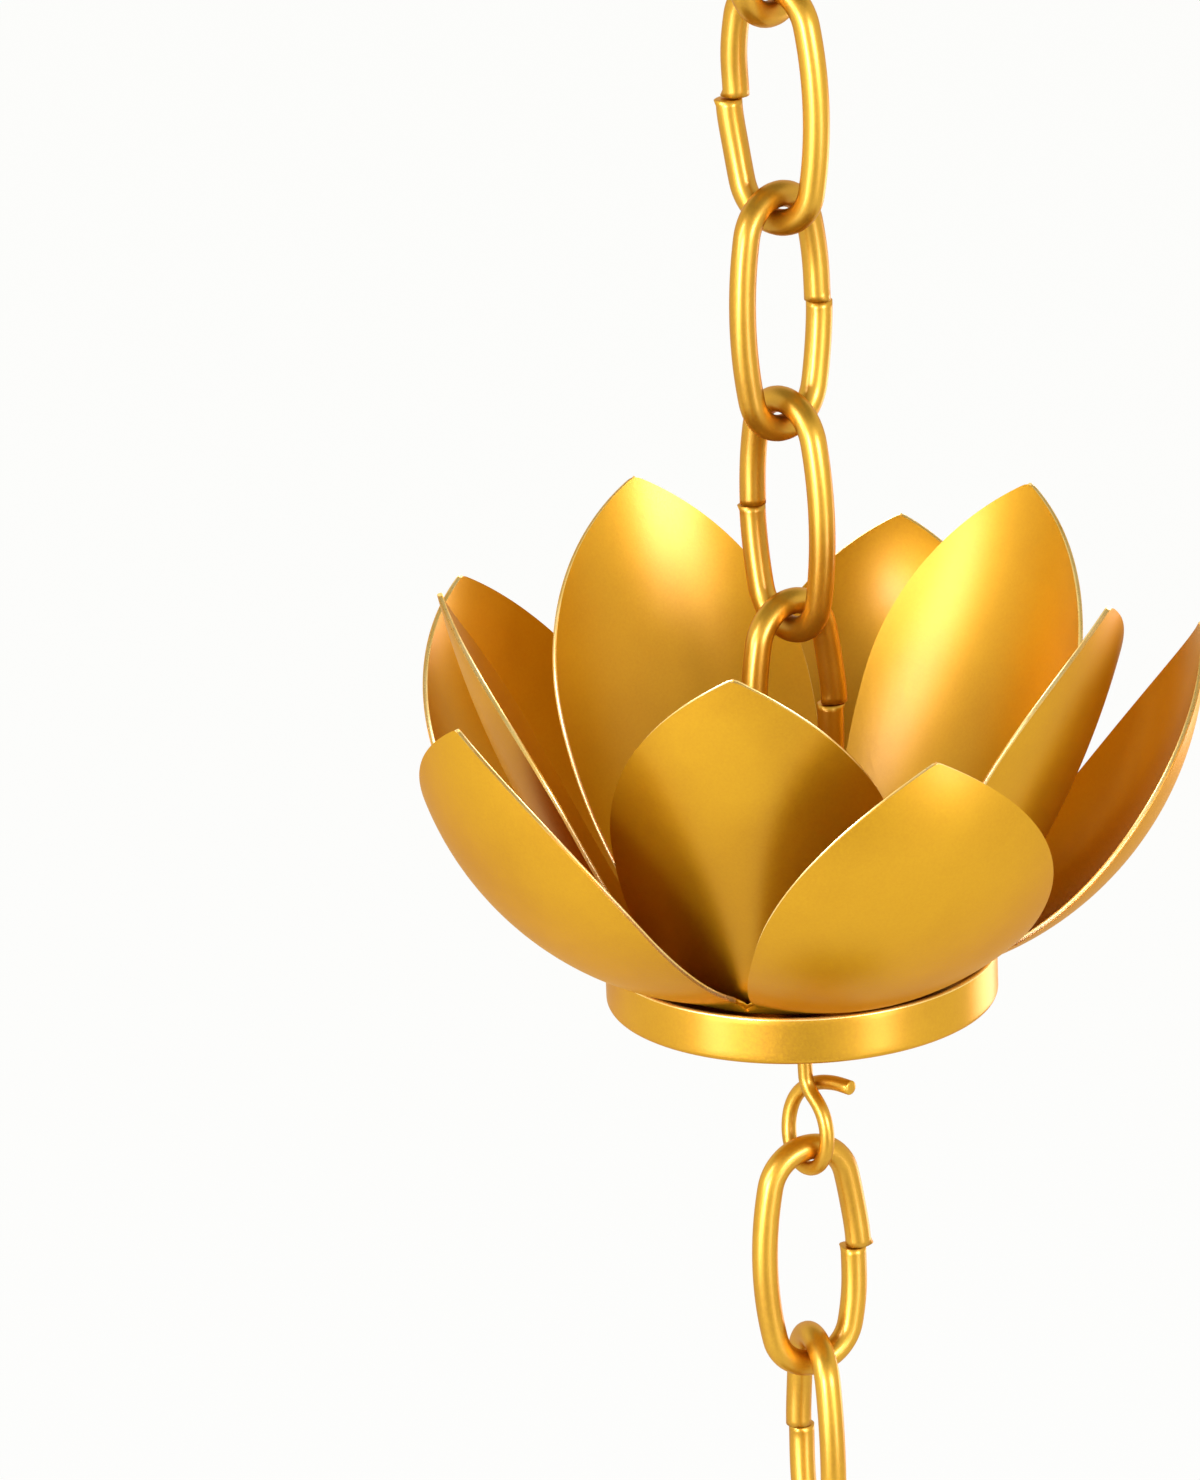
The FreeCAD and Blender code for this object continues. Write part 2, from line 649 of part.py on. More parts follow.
for run, turns in enumerate(RUN_TURNS):
    for turn in turns:
        number += 1
        parts.append(make_link(number, turn, bearing - inside / 2))
        bearing += size("hang_gap") - inside
    if run < len(CUP_TURNS):
        cup = run + 1
        rim = bearing - size("rim_below_eye")
        pan = make_pan(f"cup_{cup}_base")
        pan.Placement = upright(rim)
        parts.append(pan)
        place = upright(rim, CUP_TURNS[run])
        parts.append(add_shape(f"cup_{cup}_outer_petals", outer_blank, place))
        parts.append(add_shape(f"cup_{cup}_inner_petals", inner_blank, place))
        parts.append(add_shape(f"cup_{cup}_hanger", hanger, upright(bearing, HANGER_TURNS[run])))
        bearing += size("hang_gap") - size("hanger_length")

parts.append(add_shape("pendant_wire", pin_shape(), upright(bearing, PIN_TURN)))
drop = make_drop("pendant_drop")
drop.Placement = upright(bearing - size("hang_gap") - size("link_wire") - size("drop_below_link"))
parts.append(drop)

doc.recompute()

for item in doc.Objects:
    faults = [state for state in item.State if state in ("Invalid", "Error")]
    if faults:
        raise RuntimeError(f"{item.Label}: {faults}")

os.makedirs("parts", exist_ok=True)
for item in parts:
    shape = item.Shape
    if shape.isNull() or not shape.isValid() or len(shape.Solids) != 1:
        raise RuntimeError(f"{item.Label}: bad shape, {len(shape.Solids)} solids")
    shape.exportStep(f"parts/{item.Label}.step")
    box = shape.BoundBox
    print(f"{item.Label}: {shape.Volume:.1f} mm3, z {box.ZMin:.1f} to {box.ZMax:.1f}")
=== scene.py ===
"""Rain chain of oval wire links with three lotus cups and a glass drop, hung up and seen close to."""
import json
import math

import bmesh
import bpy
import numpy as np
from mathutils import Matrix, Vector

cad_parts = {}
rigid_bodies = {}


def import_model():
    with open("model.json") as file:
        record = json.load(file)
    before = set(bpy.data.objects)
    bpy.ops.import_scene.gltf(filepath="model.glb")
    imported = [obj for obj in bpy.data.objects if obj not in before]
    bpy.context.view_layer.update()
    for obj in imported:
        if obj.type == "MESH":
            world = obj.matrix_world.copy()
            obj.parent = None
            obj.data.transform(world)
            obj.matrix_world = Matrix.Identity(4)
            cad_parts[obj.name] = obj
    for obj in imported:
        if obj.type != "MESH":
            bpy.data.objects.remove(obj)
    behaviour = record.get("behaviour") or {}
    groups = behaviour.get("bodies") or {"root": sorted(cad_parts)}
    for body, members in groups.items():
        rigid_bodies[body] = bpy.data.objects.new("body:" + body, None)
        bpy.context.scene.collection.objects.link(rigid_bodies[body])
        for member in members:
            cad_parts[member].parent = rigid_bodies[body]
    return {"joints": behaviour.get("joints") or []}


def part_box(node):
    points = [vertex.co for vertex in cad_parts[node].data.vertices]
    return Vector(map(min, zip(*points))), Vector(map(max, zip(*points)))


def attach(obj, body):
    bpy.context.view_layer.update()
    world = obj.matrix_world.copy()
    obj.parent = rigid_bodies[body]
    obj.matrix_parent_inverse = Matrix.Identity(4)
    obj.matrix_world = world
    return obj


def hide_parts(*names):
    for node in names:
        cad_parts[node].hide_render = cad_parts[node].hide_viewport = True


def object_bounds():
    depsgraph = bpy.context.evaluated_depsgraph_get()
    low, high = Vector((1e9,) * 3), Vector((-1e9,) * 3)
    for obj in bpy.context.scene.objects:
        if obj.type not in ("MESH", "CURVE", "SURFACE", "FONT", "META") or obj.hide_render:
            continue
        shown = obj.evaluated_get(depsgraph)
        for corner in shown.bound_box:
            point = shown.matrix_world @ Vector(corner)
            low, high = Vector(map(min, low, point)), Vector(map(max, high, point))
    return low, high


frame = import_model()
cad_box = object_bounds()
MM = 0.001


# Chain links
# Each link is 4 mm steel wire bent to a long oval, its two cut ends butted a little out of line
# in the middle of one arm. The links were closed one through the next, then sprayed with the same
# satin gold as the cups, a paint with a fine grain; cut edges are painted paler, a painted highlight.
GOLD = (0.75, 0.385, 0.006, 1.0)
GOLD_DEEP = (0.67, 0.325, 0.003, 1.0)
GOLD_WIRE = (0.72, 0.375, 0.012, 1.0)
GOLD_WIRE_DEEP = (0.60, 0.290, 0.004, 1.0)
# the next two: paler gold for cut edges, a painted highlight for the light their thin edges catch
PALE_EDGE_HIGHLIGHT = (0.98, 0.74, 0.24, 1.0)
DEEP_EDGE_HIGHLIGHT = (0.92, 0.60, 0.12, 1.0)
LINK_WIRE = 4.0 * MM
LINK_LENGTH = 40.0 * MM
LINK_WIDTH = 20.0 * MM
LINK_BEND = 6.8 * MM
SEAM_OPEN = 0.42 * MM
SEAM_STEP = 0.45 * MM
SEAM_REACH = 0.06
LINK_SIDES = 24
LIP_HEIGHT = 0.2
LIP_WIDTH = 0.07
SIDEWAYS = np.array([0.0, 1.0, 0.0])


def ranged(nodes, links, value, start, stop, low=0.0, high=1.0, smooth=False):
    """Value taken from the range start to stop over to low to high, on an S curve where smooth."""
    scale = nodes.new("ShaderNodeMapRange")
    if smooth:
        scale.interpolation_type = "SMOOTHSTEP"
    for name, number in (("From Min", start), ("From Max", stop), ("To Min", low), ("To Max", high)):
        scale.inputs[name].default_value = number
    links.new(value, scale.inputs["Value"])
    return scale.outputs["Result"]


def between(nodes, links, factor, first, second):
    """Colour between two colours, by a factor."""
    mix = nodes.new("ShaderNodeMix")
    mix.data_type = "RGBA"
    mix.inputs["A"].default_value = first
    mix.inputs["B"].default_value = second
    links.new(factor, mix.inputs["Factor"])
    return mix.outputs["Result"]


def grain_group():
    """Sprayed paint: clouds, fine specks and the orange-peel relief, from three noises."""
    group = bpy.data.node_groups.new("sprayed_grain", "ShaderNodeTree")
    for name, value in (("Cloud Scale", 60.0), ("Grain Scale", 2200.0)):
        socket = group.interface.new_socket(name, in_out="INPUT", socket_type="NodeSocketFloat")
        socket.default_value = value
    for name in ("Cloud", "Speck", "Relief"):
        group.interface.new_socket(name, in_out="OUTPUT", socket_type="NodeSocketFloat")
    nodes, links = group.nodes, group.links
    given = nodes.new("NodeGroupInput")
    out = nodes.new("NodeGroupOutput")
    place = nodes.new("ShaderNodeTexCoord")
    relief_scale = nodes.new("ShaderNodeMath")
    relief_scale.operation = "MULTIPLY"
    relief_scale.inputs[1].default_value = 0.55
    links.new(given.outputs["Grain Scale"], relief_scale.inputs[0])
    for name, detail, scale in (("Cloud", 3.0, given.outputs["Cloud Scale"]),
                                ("Speck", 1.5, given.outputs["Grain Scale"]),
                                ("Relief", 2.0, relief_scale.outputs[0])):
        noise = nodes.new("ShaderNodeTexNoise")
        noise.inputs["Detail"].default_value = detail
        links.new(place.outputs["Object"], noise.inputs["Vector"])
        links.new(scale, noise.inputs["Scale"])
        links.new(noise.outputs["Fac"], out.inputs[name])
    return group


SPRAYED_GRAIN = grain_group()


def gold_paint(name, light, deep, metal, gloss, coat, cloud_scale, grain_scale, relief):
    """Satin gold: the clouds shift its colour, the specks its tone and gloss, the relief its normal."""
    made = bpy.data.materials.new(name)
    made.use_nodes = True
    nodes, links = made.node_tree.nodes, made.node_tree.links
    surface = nodes["Principled BSDF"]
    surface.inputs["Metallic"].default_value = metal
    surface.inputs["Specular Tint"].default_value = (0.80, 0.50, 0.15, 1.0)
    surface.inputs["Coat Weight"].default_value = coat
    surface.inputs["Coat IOR"].default_value = 2.2
    surface.inputs["Coat Roughness"].default_value = 0.28
    grain = nodes.new("ShaderNodeGroup")
    grain.node_tree = SPRAYED_GRAIN
    grain.inputs["Cloud Scale"].default_value = cloud_scale
    grain.inputs["Grain Scale"].default_value = grain_scale
    tone = ranged(nodes, links, grain.outputs["Cloud"], 0.35, 0.62)
    speckled = nodes.new("ShaderNodeMix")
    speckled.data_type = "RGBA"
    speckled.blend_type = "SOFT_LIGHT"
    speckled.inputs["Factor"].default_value = 0.18
    rough = ranged(nodes, links, grain.outputs["Speck"], 0.3, 0.7, gloss - 0.03, gloss + 0.04)
    bump = nodes.new("ShaderNodeBump")
    bump.inputs["Strength"].default_value = relief
    bump.inputs["Distance"].default_value = 0.02 * MM
    links.new(between(nodes, links, tone, deep, light), speckled.inputs["A"])
    links.new(grain.outputs["Speck"], speckled.inputs["B"])
    links.new(speckled.outputs["Result"], surface.inputs["Base Color"])
    links.new(rough, surface.inputs["Roughness"])
    links.new(grain.outputs["Relief"], bump.inputs["Height"])
    links.new(bump.outputs["Normal"], surface.inputs["Normal"])
    return made


link_gold = gold_paint("chain_gold", GOLD_WIRE, GOLD_WIRE_DEEP, metal=0.90, gloss=0.35, coat=0.22,
                       cloud_scale=60.0, grain_scale=3000.0, relief=0.02)


def quads(rows, columns, wrap):
    """Corner numbers of the faces of a grid, its columns closed to a ring where wrap is true."""
    row = np.arange(rows - 1)[:, None]
    column = np.arange(columns if wrap else columns - 1)[None, :]
    after = (column + 1) % columns
    corners = (row * columns + column, row * columns + after,
               (row + 1) * columns + after, (row + 1) * columns + column)
    return np.stack(corners, axis=-1).reshape(-1, 4)


def add_piece(name, points, faces, body, node, finishes, which=None, weld=0.0):
    """Object from arrays of points and faces, smooth shaded, that rides on a body for a CAD node."""
    mesh = bpy.data.meshes.new(name)
    mesh.from_pydata(points.reshape(-1, 3).tolist(), [], faces.tolist())
    for finish in finishes:
        mesh.materials.append(finish)
    if which is not None:
        mesh.polygons.foreach_set("material_index", which.astype(np.int32))
    if weld:
        work = bmesh.new()
        work.from_mesh(mesh)
        bmesh.ops.remove_doubles(work, verts=work.verts, dist=weld)
        bmesh.ops.recalc_face_normals(work, faces=work.faces)
        work.to_mesh(mesh)
        work.free()
    mesh.polygons.foreach_set("use_smooth", np.ones(len(mesh.polygons), bool))
    mesh.update()
    piece = bpy.data.objects.new(name, mesh)
    bpy.context.scene.collection.objects.link(piece)
    if body:
        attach(piece, body)
        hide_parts(node)
    return piece


def wire_surface(path, radius, side, sides, end_round):
    """Round wire: circles square to the path, in the frame of its tangent and a given side.

    The last few circles at each end shrink on a quarter ellipse, end_round long, to a closed tip.
    """
    tangent = np.gradient(path, axis=0)
    tangent /= np.linalg.norm(tangent, axis=1, keepdims=True)
    second = side - (tangent @ side)[:, None] * tangent
    second /= np.linalg.norm(second, axis=1, keepdims=True)
    first = np.cross(second, tangent)
    turn = np.linspace(0, math.pi / 2, 6)
    reach, shrink = np.sin(turn[1:]), np.cos(turn[1:])
    shrink[-1] = 0.02
    before = path[0] - tangent[0] * end_round * reach[::-1, None]
    beyond = path[-1] + tangent[-1] * end_round * reach[:, None]
    centres = np.vstack([before, path, beyond])
    sizes = radius * np.concatenate([shrink[::-1], np.ones(len(path)), shrink])
    ends = len(reach)
    first = np.vstack([np.repeat(first[:1], ends, 0), first, np.repeat(first[-1:], ends, 0)])
    second = np.vstack([np.repeat(second[:1], ends, 0), second, np.repeat(second[-1:], ends, 0)])
    around = np.linspace(0, 2 * math.pi, sides, endpoint=False)
    ring = (np.cos(around)[None, :, None] * first[:, None] + np.sin(around)[None, :, None] * second[:, None])
    points = centres[:, None] + ring * sizes[:, None, None]
    faces = quads(len(centres), sides, True)
    return points, faces


def turned(points, angle, lift):
    """Points turned about the Z axis and raised."""
    c, s = math.cos(angle), math.sin(angle)
    spin = np.array([[c, s, 0], [-s, c, 0], [0, 0, 1]])
    return points @ spin + np.array([0, 0, lift])


def link_path(slack):
    """Oval of five arcs in line with each other: half an arm, end, arm, end and half an arm."""
    half = (LINK_WIDTH - LINK_WIRE) / 2
    rise = (LINK_LENGTH - LINK_WIRE) / 2 - LINK_BEND
    arm = (half**2 + rise**2 - LINK_BEND**2) / (2 * (half - LINK_BEND))
    lean = math.atan2(rise, arm - half)
    gap = SEAM_OPEN / 2 / arm
    pieces = [
        (half - arm, 0, arm, gap, lean, 14),
        (0, rise, LINK_BEND, lean, math.pi - lean, 26),
        (arm - half, 0, arm, math.pi - lean, math.pi + lean, 22),
        (0, -rise, LINK_BEND, math.pi + lean, 2 * math.pi - lean, 26),
        (half - arm, 0, arm, 2 * math.pi - lean, 2 * math.pi - gap, 14),
    ]
    runs = []
    for x, z, radius, start, stop, count in pieces:
        angle = np.linspace(start, stop, count, endpoint=stop == pieces[-1][4])
        runs.append(np.stack([x + radius * np.cos(angle), 0 * angle, z + radius * np.sin(angle)], 1))
    path = np.vstack(runs)
    # the cut ends stand a little out of line, by a step that fades away along the arm
    along = np.linspace(0, 1, len(path))
    near = np.exp(-(along / SEAM_REACH)**2) - np.exp(-((1 - along) / SEAM_REACH)**2)
    path[:, 1] += near * slack[0] * SEAM_STEP
    path[:, 0] += near * slack[1] * SEAM_STEP
    return path


turn_of_link = {
    joint["parent"]: math.atan2(joint["axis"][1], joint["axis"][0]) % math.pi
    for joint in frame["joints"] if joint["parent"].startswith("link_")}
chance = np.random.default_rng(11)
for node in sorted(turn_of_link):
    low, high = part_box(node)
    slack = chance.uniform(0.5, 1.0, 2) * np.where(chance.random(2) < 0.5, -1, 1)
    points, faces = wire_surface(link_path(slack), LINK_WIRE / 2, SIDEWAYS, sides=LINK_SIDES,
                                 end_round=0.12 * MM)
    # the cutters left a small lip on one side of each cut end
    for end in (slice(3, 6), slice(-6, -3)):
        centre = points[end].mean(axis=1, keepdims=True)
        away = (np.arange(LINK_SIDES) / LINK_SIDES - chance.random() + 0.5) % 1 - 0.5
        lip = 1 + LIP_HEIGHT * np.exp(-(away / LIP_WIDTH)**2)
        points[end] = centre + (points[end] - centre) * lip[None, :, None]
    points = turned(points, turn_of_link[node], (low.z + high.z) / 2)
    link = add_piece(f"{node}_wire", points, faces, node, node, [link_gold], weld=0.01 * MM)


# Cup bases
# Each base is a shallow round pan pressed from sheet steel, open upwards and sprayed gold. Its
# upper edge, which carries the petals, is painted paler gold, a painted highlight along that edge.
PAN_RADIUS = 30.0 * MM
PAN_HEIGHT = 7.5 * MM
PAN_SHEET = 0.9 * MM
PAN_CORNER = 0.9 * MM
WIRE_HOLE = 1.3 * MM
DRAIN_HOLE = 2.0 * MM
DRAIN_CIRCLE = 8.0 * MM
EDGE_DEPTH = 0.35 * MM

band_gold = gold_paint("base_gold", GOLD, GOLD_DEEP, metal=0.88, gloss=0.32, coat=0.18,
                       cloud_scale=45.0, grain_scale=2600.0, relief=0.6)
# paler gold on cut edges, a painted highlight along them
edge_highlight_gold = gold_paint("edge_highlight_gold", PALE_EDGE_HIGHLIGHT, DEEP_EDGE_HIGHLIGHT, metal=0.80, gloss=0.30, coat=0.10,
                       cloud_scale=120.0, grain_scale=3000.0, relief=0.05)


def arc(centre, radius, start, stop, count):
    """Points of an arc in a plane, angles in degrees."""
    angle = np.radians(np.linspace(start, stop, count))
    return np.stack([centre[0] + radius * np.cos(angle), centre[1] + radius * np.sin(angle)], 1)


def pan_profile():
    """Section of the pan from its centre under the floor, up the band and back over the floor."""
    nose = 0.3 * MM
    inner = PAN_CORNER / 3
    wall = PAN_RADIUS - PAN_SHEET
    floor = PAN_SHEET - PAN_HEIGHT
    radii = np.linspace(0.0, PAN_RADIUS - PAN_CORNER, 14)[:-1]
    under = np.stack([radii, np.full_like(radii, -PAN_HEIGHT)], 1)
    corner = arc((PAN_RADIUS - PAN_CORNER, PAN_CORNER - PAN_HEIGHT), PAN_CORNER, -90, 0, 8)
    heights = np.linspace(PAN_CORNER - PAN_HEIGHT, -nose, 8)[1:-1]
    band = np.stack([np.full_like(heights, PAN_RADIUS), heights], 1)
    outer_nose = arc((PAN_RADIUS - nose, -nose), nose, 0, 90, 5)
    inner_nose = arc((wall + nose, -nose), nose, 90, 180, 5)
    inner_corner = arc((wall - inner, floor + inner), inner, 0, -90, 4)
    over = np.stack([radii[::-1], np.full_like(radii, floor)], 1)
    return np.vstack([under, corner, band, outer_nose, inner_nose, inner_corner, over])


def revolved(profile, sides):
    """Surface of revolution: a section of radius and height carried round the Z axis."""
    around = np.linspace(0, 2 * math.pi, sides, endpoint=False)
    x = profile[:, :1] * np.cos(around)
    y = profile[:, :1] * np.sin(around)
    z = np.repeat(profile[:, 1:], sides, axis=1)
    return np.stack([x, y, z], axis=-1), quads(len(profile), sides, True)


def punch(piece, holes, depth):
    """Cuts round holes down through a piece, each given by place and radius, and applies the cuts."""
    for x, y, z, radius in holes:
        bpy.ops.mesh.primitive_cylinder_add(vertices=32, radius=radius, depth=depth, location=(x, y, z))
        cutter = bpy.context.object
        cut = piece.modifiers.new("hole", "BOOLEAN")
        cut.operation = "DIFFERENCE"
        cut.solver = "EXACT"
        cut.object = cutter
        bpy.context.view_layer.update()
        shape = bpy.data.meshes.new_from_object(piece.evaluated_get(bpy.context.evaluated_depsgraph_get()))
        piece.modifiers.clear()
        piece.data = shape
        bpy.data.objects.remove(cutter)
    piece.data.polygons.foreach_set("use_smooth", np.ones(len(piece.data.polygons), bool))
    piece.data.set_sharp_from_angle(angle=math.radians(50))


def floor_holes(height):
    """The hanger's hole on the axis and the four drain holes round it."""
    quarter = np.radians([45, 135, 225, 315])
    return [(0.0, 0.0, height, WIRE_HOLE)] + [
        (DRAIN_CIRCLE * math.cos(a), DRAIN_CIRCLE * math.sin(a), height, DRAIN_HOLE) for a in quarter]


points, faces = revolved(pan_profile(), sides=160)
# faces in the pan's top 0.35 mm get the paler gold, a painted highlight along its upper edge
on_highlit_edge = points[..., 2].reshape(-1)[faces].min(axis=1) > -EDGE_DEPTH
for cup in (1, 2, 3):
    low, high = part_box(f"cup_{cup}_base")
    base = add_piece(f"cup_{cup}_base_pan", points + [0, 0, high.z], faces, f"cup_{cup}",
                     f"cup_{cup}_base", [band_gold, edge_highlight_gold], on_highlit_edge, weld=0.001 * MM)
    punch(base, floor_holes(low.z), depth=6 * MM)


# Lotus petals
# A cup's two layers are blanks cut from thin sheet, each a dished hub with five petals. The
# petals are cupped lengthwise and across, and bent up. The inner layer sits in the outer one.
SHEET = 0.8 * MM
DISH = 84.0 * MM
SEAT = 0.1 * MM
NEST = 0.25 * MM
TIP_ROUND = 2.6 * MM
HUB_LAP = 0.3 * MM
EDGE_ROUND = 0.22 * MM
PETALS = 5
SECTOR = math.pi / PETALS
CUP_TURN = {1: math.pi, 2: 0.0, 3: math.pi}
OUTER = dict(root=23.0, root_width=31.0, start=27.5, chord=60.9, lift=55.6, slope=None,
             neck=32.4, width=45.6, widest=27.0, cup=44.0, turn=-70.8)
INNER = dict(root=19.5, root_width=26.6, start=25.6, chord=66.9, lift=65.9, slope=53.4,
             neck=31.0, width=43.4, widest=31.5, cup=47.0, turn=-99.4)
LENGTHS = ("root", "root_width", "start", "chord", "neck", "width", "widest", "cup")

petal_gold = gold_paint("petal_gold", GOLD, GOLD_DEEP, metal=0.88, gloss=0.39, coat=0.14,
                        cloud_scale=38.0, grain_scale=2600.0, relief=0.75)


class Petal:
    """Middle surface of one petal with its sector of the hub, the petal pointing along +X.

    The hub is a part of a sphere about the axis. The petal is a part of a torus: an arc bowed
    along the chord, turned about a line beside the chord. A straight neck joins the two, and the
    folds between them are rounded by averaging the surface along the petal.
    """

    def __init__(self, sizes, inner):
        for name, value in sizes.items():
            setattr(self, name, value * MM if name in LENGTHS else value)
        rim = PAN_RADIUS - PAN_SHEET
        self.dish = DISH - (SHEET + NEST if inner else 0.0)
        # between its petals the outer hub laps a little over the pan's rim
        self.hub_reach = 0.0 if inner else rim + HUB_LAP
        self.centre = SEAT + math.sqrt((DISH + SHEET / 2)**2 - rim**2)
        self.lift = math.radians(self.lift)
        slope = math.radians(self.slope) if inner else math.asin(self.start / self.dish)
        half_turn = self.lift - slope
        self.bow = self.chord / 2 / math.sin(half_turn)
        self.sagitta = self.bow * (1 - math.cos(half_turn))
        self.off = self.cup - self.sagitta
        self.base_z = self.centre - math.sqrt(self.dish**2 - self.start**2)

    def dished(self, x, y):
        """Hub: the sphere's height over a place."""
        return np.stack([x, y, self.centre - np.sqrt(self.dish**2 - x**2 - y**2)], -1)

    def patch(self, s, y):
        """Petal: s runs along the chord, y across it."""
        n_mid = self.bow - self.sagitta - np.sqrt(self.bow**2 - (s - self.chord / 2)**2)
        n = self.off - np.sqrt((self.off - n_mid)**2 - y**2)
        c, k = math.cos(self.lift), math.sin(self.lift)
        return np.stack([self.start + s * c - n * k, y, self.base_z + s * k + n * c], -1)

    def raw(self, m, y):
        """Hub, neck and petal in one, m being the way out from the axis."""
        s = np.clip(m - self.start, 0, self.chord)
        share = np.clip((m - self.root) / (self.start - self.root), 0, 1)[..., None]
        at_root = self.dished(np.minimum(m, self.root), y)
        at_start = self.patch(s, y)
        return (1 - share) * at_root + share * at_start

    def surface(self, m, y):
        """The surface with its folds rounded: a weighted mean over 2 mm along the petal."""
        spread = np.array([-1.2, -0.6, 0.0, 0.6, 1.2]) * MM
        weight = np.array([0.1, 0.25, 0.3, 0.25, 0.1])
        ease = np.clip(1 - (m - self.start - 4 * MM) / (6 * MM), 0, 1)
        return sum(w * self.raw(m + d * ease, y) for w, d in zip(weight, spread))

    def outline(self, rows):
        """Way out and half width at steps along the edge, from the notch beside it to the tip."""
        half, neck = self.width / 2, self.neck / 2
        root = np.array([self.root, self.root_width / 2])
        away = np.array([math.cos(SECTOR), math.sin(SECTOR)])
        notch = max(root @ away, self.hub_reach)
        lower = (self.widest**2 + (half - neck)**2) / (2 * (half - neck))
        turn = np.linspace(math.asin(self.widest / lower), 0, 40)
        low_side = np.stack([self.widest - lower * np.sin(turn), half - lower * (1 - np.cos(turn))], 1)
        reach = self.chord - TIP_ROUND - self.widest
        upper = (reach**2 + half**2 - TIP_ROUND**2) / (2 * (half - TIP_ROUND))
        lean = math.atan2(reach, upper - half)
        turn = np.linspace(0, lean, 60)[1:]
        high_side = np.stack([self.widest + upper * np.sin(turn), upper * np.cos(turn) - upper + half], 1)
        turn = np.linspace(lean, math.pi / 2, 24)[1:]
        blunt = np.stack([self.chord - TIP_ROUND + TIP_ROUND * np.sin(turn), TIP_ROUND * np.cos(turn)], 1)
        blade = np.vstack([low_side, high_side, blunt]) + [self.start, 0]
        hub = [notch * away] if self.hub_reach else [notch * away, root]
        edge = np.vstack(hub + [blade])
        run = np.concatenate([[0], np.cumsum(np.linalg.norm(np.diff(edge, axis=0), axis=1))])
        # the steps grow shorter towards the tip
        step = run[-1] * (1 - (1 - np.linspace(0, 1, rows))**1.25)
        return np.stack([np.interp(step, run, edge[:, 0]), np.interp(step, run, edge[:, 1])], 1)

    def shell(self, rows=72, columns=33):
        """Points and faces of the sector: inner face, outer face and the rounded edge between."""
        edge = self.outline(rows)
        hub_rows = np.linspace(0, 1, 9)[:-1, None] * edge[:1]
        m = np.concatenate([hub_rows[:, 0], edge[:, 0]])
        w = np.concatenate([hub_rows[:, 1], edge[:, 1]])
        free = len(hub_rows)
        across = np.sin(np.linspace(-1, 1, columns) * math.pi / 2)
        across = 0.5 * (across + np.linspace(-1, 1, columns))
        inset = np.where(np.arange(len(m)) >= free + 2, EDGE_ROUND, 0.0)
        m_in = m - inset * np.clip((m - self.start - self.widest) / (self.chord - self.widest), 0, 1)
        w_in = np.maximum(w - inset, 0)
        grid_m = np.repeat(m_in[:, None], columns, 1)
        grid_y = w_in[:, None] * across
        middle = self.surface(grid_m, grid_y)
        step = 0.05 * MM
        along = self.surface(grid_m + step, grid_y) - self.surface(grid_m - step, grid_y)
        cross = self.surface(grid_m, grid_y + step) - self.surface(grid_m, grid_y - step)
        normal = np.cross(along, cross)
        normal /= np.linalg.norm(normal, axis=-1, keepdims=True)
        inside = middle + normal * SHEET / 2
        outside = middle - normal * SHEET / 2
        points = [inside, outside]
        sheet = quads(len(m), columns, False)
        face_sets = [sheet, sheet[:, ::-1] + len(m) * columns]
        count = 2 * len(m) * columns
        # strip faces marked here get the paler gold, a painted highlight along the petals' edges
        finish = [np.zeros(len(sheet)), np.zeros(len(sheet))]
        around = np.linspace(0, math.pi, 7)
        fullness = 0.7
        for side in (0, columns - 1):
            border, up = middle[free:, side], normal[free:, side]
            tangent = np.gradient(border, axis=0)
            tangent[-1] = cross[-1, side] * (-1 if side else 1)
            tangent /= np.linalg.norm(tangent, axis=1, keepdims=True)
            out = np.cross(tangent, up) * (1 if side else -1)
            out[-1] = along[-1, side] / np.linalg.norm(along[-1, side])
            grow = np.where(np.arange(len(border)) < 2, 0.0, EDGE_ROUND)[:, None, None]
            squared = np.sign(np.cos(around)) * np.abs(np.cos(around))**fullness
            belly = np.sin(around)**fullness
            belly[-1] = 0.0
            strip = (border[:, None] + up[:, None] * squared[None, :, None] * SHEET / 2
                     + out[:, None] * belly[None, :, None] * grow)
            strip_faces = quads(len(border), len(around), False)
            points.append(strip)
            face_sets.append((strip_faces[:, ::-1] if side else strip_faces) + count)
            # the first three rows, beside the hub, don't get the painted edge highlight
            finish.append(np.arange(len(strip_faces)) >= 3 * (len(around) - 1))
            count += strip.shape[0] * strip.shape[1]
        flat = np.vstack([p.reshape(-1, 3) for p in points])
        return flat, np.vstack(face_sets), np.concatenate(finish)


for word, sizes in (("outer", OUTER), ("inner", INNER)):
    petal = Petal(sizes, word == "inner")
    one, faces, finish = petal.shell()
    start = math.radians(petal.turn)
    sectors = [turned(one, start + 2 * SECTOR * k, 0.0) for k in range(PETALS)]
    rosette = np.vstack(sectors)
    all_faces = np.vstack([faces + k * len(one) for k in range(PETALS)])
    blank = add_piece(f"{word}_petal_blank", rosette, all_faces, None, None, [petal_gold, edge_highlight_gold],
                      np.tile(finish, PETALS), weld=0.004 * MM)
    punch(blank, floor_holes(petal.centre - petal.dish), depth=4 * MM)
    for cup in (1, 2, 3):
        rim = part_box(f"cup_{cup}_base")[1].z
        mesh = blank.data.copy()
        flat = np.empty(len(mesh.vertices) * 3, np.float32)
        mesh.vertices.foreach_get("co", flat)
        mesh.vertices.foreach_set("co", turned(flat.reshape(-1, 3), CUP_TURN[cup], rim).ravel())
        mesh.update()
        layer = bpy.data.objects.new(f"cup_{cup}_{word}_layer", mesh)
        bpy.context.scene.collection.objects.link(layer)
        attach(layer, f"cup_{cup}")
        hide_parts(f"cup_{cup}_{word}_petals")
    bpy.data.objects.remove(blank)


